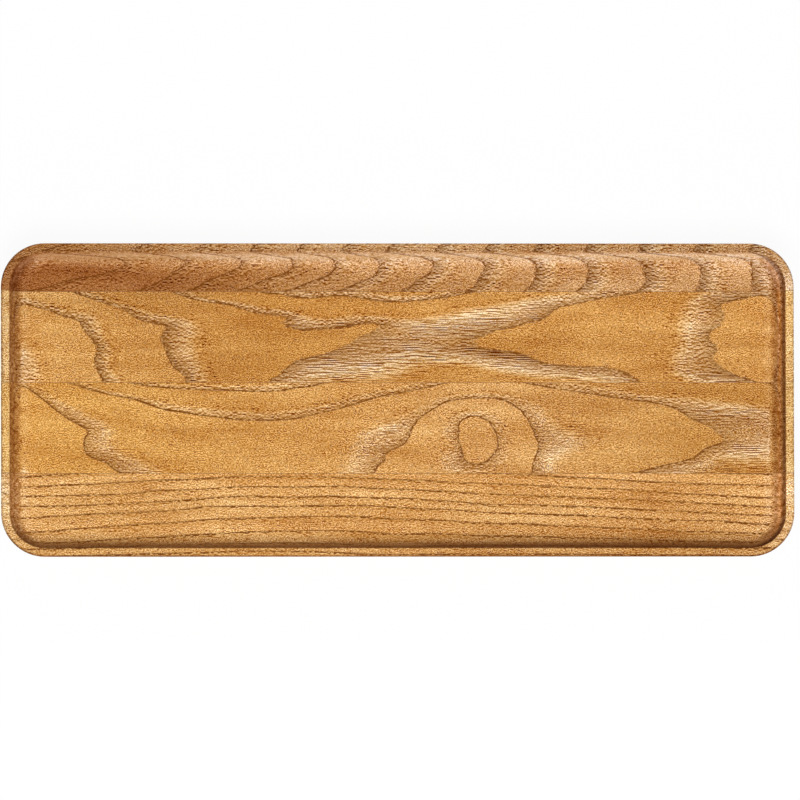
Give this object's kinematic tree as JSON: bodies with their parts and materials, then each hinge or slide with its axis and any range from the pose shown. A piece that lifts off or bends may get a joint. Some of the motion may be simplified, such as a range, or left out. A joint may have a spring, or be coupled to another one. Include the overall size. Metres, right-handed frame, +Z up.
{
  "type": "appetizer plate",
  "caption": "Long rectangular wooden appetizer plate of edge-glued staves, with rounded corners, a narrow rim and a shallow coved recess for serving finger food.",
  "frame": {"origin": "middle of the flat underside, where the plate stands", "axes": "+X along the length and the grain, +Y across the staves to the back edge, +Z up out of the recess"},
  "size_m": [0.38, 0.15, 0.02],
  "materials": {
    "back_wood": "oiled flat-sawn ring-porous hardwood, a little redder than its neighbours, satin",
    "upper_wood": "oiled flat-sawn ring-porous hardwood with broad cathedral figure, satin",
    "lower_wood": "oiled flat-sawn ring-porous hardwood with an eye in its figure, satin",
    "front_wood": "oiled rift-sawn ring-porous hardwood with straight lines, satin",
    "dried_glue": "dried wood glue, amber brown"
  },
  "bodies": {
    "root": {"back_stave": "back_wood", "back_glue_line": "dried_glue", "upper_middle_stave": "upper_wood", "middle_glue_line": "dried_glue", "lower_middle_stave": "lower_wood", "front_glue_line": "dried_glue", "front_stave": "front_wood"}
  },
  "joints": []
}
